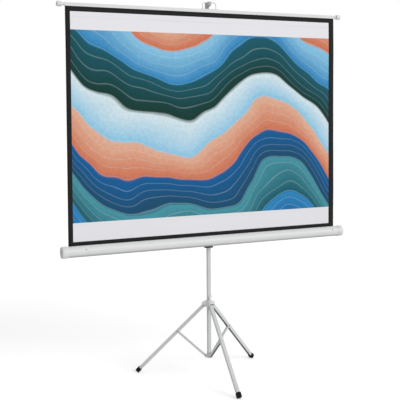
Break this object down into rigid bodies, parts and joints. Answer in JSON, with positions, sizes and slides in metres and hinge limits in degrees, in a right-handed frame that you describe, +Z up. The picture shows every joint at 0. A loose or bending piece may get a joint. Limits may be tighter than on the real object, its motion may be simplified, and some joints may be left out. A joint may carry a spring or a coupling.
{
  "type": "tripod projection screen",
  "caption": "Floor-standing spring-roller projection screen: white cloth with a black border, round case, telescoping pole and folding tripod.",
  "frame": {"origin": "point on the floor under the pole's axis, the middle of the feet's circle", "axes": "+X to the viewer's right, -Y the way the screen faces, +Z up"},
  "size_m": [2.208, 0.8619, 2.689],
  "materials": {
    "case_paint": "semi-gloss",
    "pole_paint": "satin",
    "leg_paint": "satin",
    "hub_paint": "satin",
    "steel": "satin",
    "spring_steel": "oiled",
    "dark_plastic": "matt",
    "grey_plastic": "satin",
    "black_plastic": "matt",
    "rubber": "matt",
    "cloth": "matt white with a black border"
  },
  "bodies": {
    "stand": {"outer_tube": "pole_paint", "lower_spider": "hub_paint", "spider_rivets": "steel", "spider_screw": "steel", "lock_collar": "dark_plastic", "lever_pin": "steel"},
    "hub": {"upper_hub": "hub_paint", "hub_rivets": "steel", "trigger_pin": "steel"},
    "trigger": {"hub_trigger": "grey_plastic"},
    "lever": {"lock_lever": "dark_plastic"},
    "carriage": {"case_slider": "dark_plastic", "case_pivot": "steel", "case_saddle": "dark_plastic", "saddle_screws": "steel", "case_shell": "case_paint", "case_screws": "steel", "end_cap_left": "grey_plastic", "end_cap_right": "grey_plastic", "roller_pin": "steel", "spring_shaft": "steel", "spring_anchor": "black_plastic", "torsion_spring": "spring_steel", "screen_cloth": "cloth"},
    "knob": {"height_knob": "black_plastic", "knob_screw": "steel"},
    "roller": {"roller_tube": "steel", "roller_plug_left": "black_plastic", "roller_plug_right": "black_plastic", "wound_cloth": "cloth"},
    "mast": {"inner_tube": "pole_paint", "inner_glide": "black_plastic", "top_hook": "grey_plastic", "top_bar": "case_paint", "hem_rod": "steel", "bar_knob_left": "grey_plastic", "bar_knob_right": "grey_plastic", "hanger_loop": "steel", "hanger_strip": "steel", "strip_screws": "steel"},
    "leg_front": {"leg_front": "leg_paint", "foot_front": "rubber", "strut_rivet_front": "steel"},
    "strut_front": {"strut_front": "leg_paint"},
    "leg_right": {"leg_right": "leg_paint", "foot_right": "rubber", "strut_rivet_right": "steel"},
    "strut_right": {"strut_right": "leg_paint"},
    "leg_left": {"leg_left": "leg_paint", "foot_left": "rubber", "strut_rivet_left": "steel"},
    "strut_left": {"strut_left": "leg_paint"}
  },
  "joints": [
    {"name": "tripod_fold", "type": "slide", "parent": "stand", "child": "hub", "axis": [0, 0, 1], "range_m": [0, 0.1767]},
    {"name": "hub_trigger_pull", "type": "hinge", "parent": "hub", "child": "trigger", "pos_m": [0, -0.022, 0.58], "axis": [-1, 0, 0], "range_deg": [0, 12], "stiffness_Nm_per_rad": 0.05, "springref_deg": -17.19},
    {"name": "mast_lock", "type": "hinge", "parent": "stand", "child": "lever", "pos_m": [0, 0.0223, 1.542], "axis": [1, 0, 0], "range_deg": [0, 60]},
    {"name": "screen_height", "type": "slide", "parent": "stand", "child": "carriage", "axis": [0, 0, 1], "range_m": [-0.12, 0]},
    {"name": "height_knob_turn", "type": "hinge", "parent": "carriage", "child": "knob", "pos_m": [0, 0.0308, 0.96904], "axis": [0, 1, 0], "range_deg": [0, 270]},
    {"name": "mast_extend", "type": "slide", "parent": "carriage", "child": "mast", "axis": [0, 0, 1], "range_m": [-0.94, 0], "deforming": ["screen_cloth"]},
    {"name": "roller_spin", "type": "hinge", "parent": "carriage", "child": "roller", "pos_m": [0, -0.0594, 0.99104], "axis": [1, 0, 0], "range_deg": [-2450, 0]},
    {"name": "leg_front_fold", "type": "hinge", "parent": "hub", "child": "leg_front", "pos_m": [-0.00258, -0.03992, 0.512], "axis": [0.9979, -0.0645, 0], "range_deg": [0, 44.66]},
    {"name": "strut_front_fold", "type": "hinge", "parent": "leg_front", "child": "strut_front", "pos_m": [-0.01504, -0.23262, 0.31621], "axis": [0.9979, -0.0645, 0], "range_deg": [-91.49, 0]},
    {"name": "leg_right_fold", "type": "hinge", "parent": "hub", "child": "leg_right", "pos_m": [0.03586, 0.01772, 0.512], "axis": [-0.4431, 0.8965, 0], "range_deg": [0, 44.66]},
    {"name": "strut_right_fold", "type": "hinge", "parent": "leg_right", "child": "strut_right", "pos_m": [0.20898, 0.10329, 0.31621], "axis": [-0.4431, 0.8965, 0], "range_deg": [-91.49, 0]},
    {"name": "leg_left_fold", "type": "hinge", "parent": "hub", "child": "leg_left", "pos_m": [-0.03328, 0.02219, 0.512], "axis": [-0.5548, -0.832, 0], "range_deg": [0, 44.66]},
    {"name": "strut_left_fold", "type": "hinge", "parent": "leg_left", "child": "strut_left", "pos_m": [-0.19394, 0.12934, 0.31621], "axis": [-0.5548, -0.832, 0], "range_deg": [-91.49, 0]}
  ],
  "couplings": [
    {"joint": "roller_spin", "follows": "mast_extend", "rad_per_m": 45.455},
    {"joint": "leg_front_fold", "follows": "tripod_fold", "rad_per_m": 4.4059},
    {"joint": "strut_front_fold", "follows": "tripod_fold", "rad_per_m": -9.0316},
    {"joint": "leg_right_fold", "follows": "tripod_fold", "rad_per_m": 4.4059},
    {"joint": "strut_right_fold", "follows": "tripod_fold", "rad_per_m": -9.0316},
    {"joint": "leg_left_fold", "follows": "tripod_fold", "rad_per_m": 4.4059},
    {"joint": "strut_left_fold", "follows": "tripod_fold", "rad_per_m": -9.0316}
  ]
}
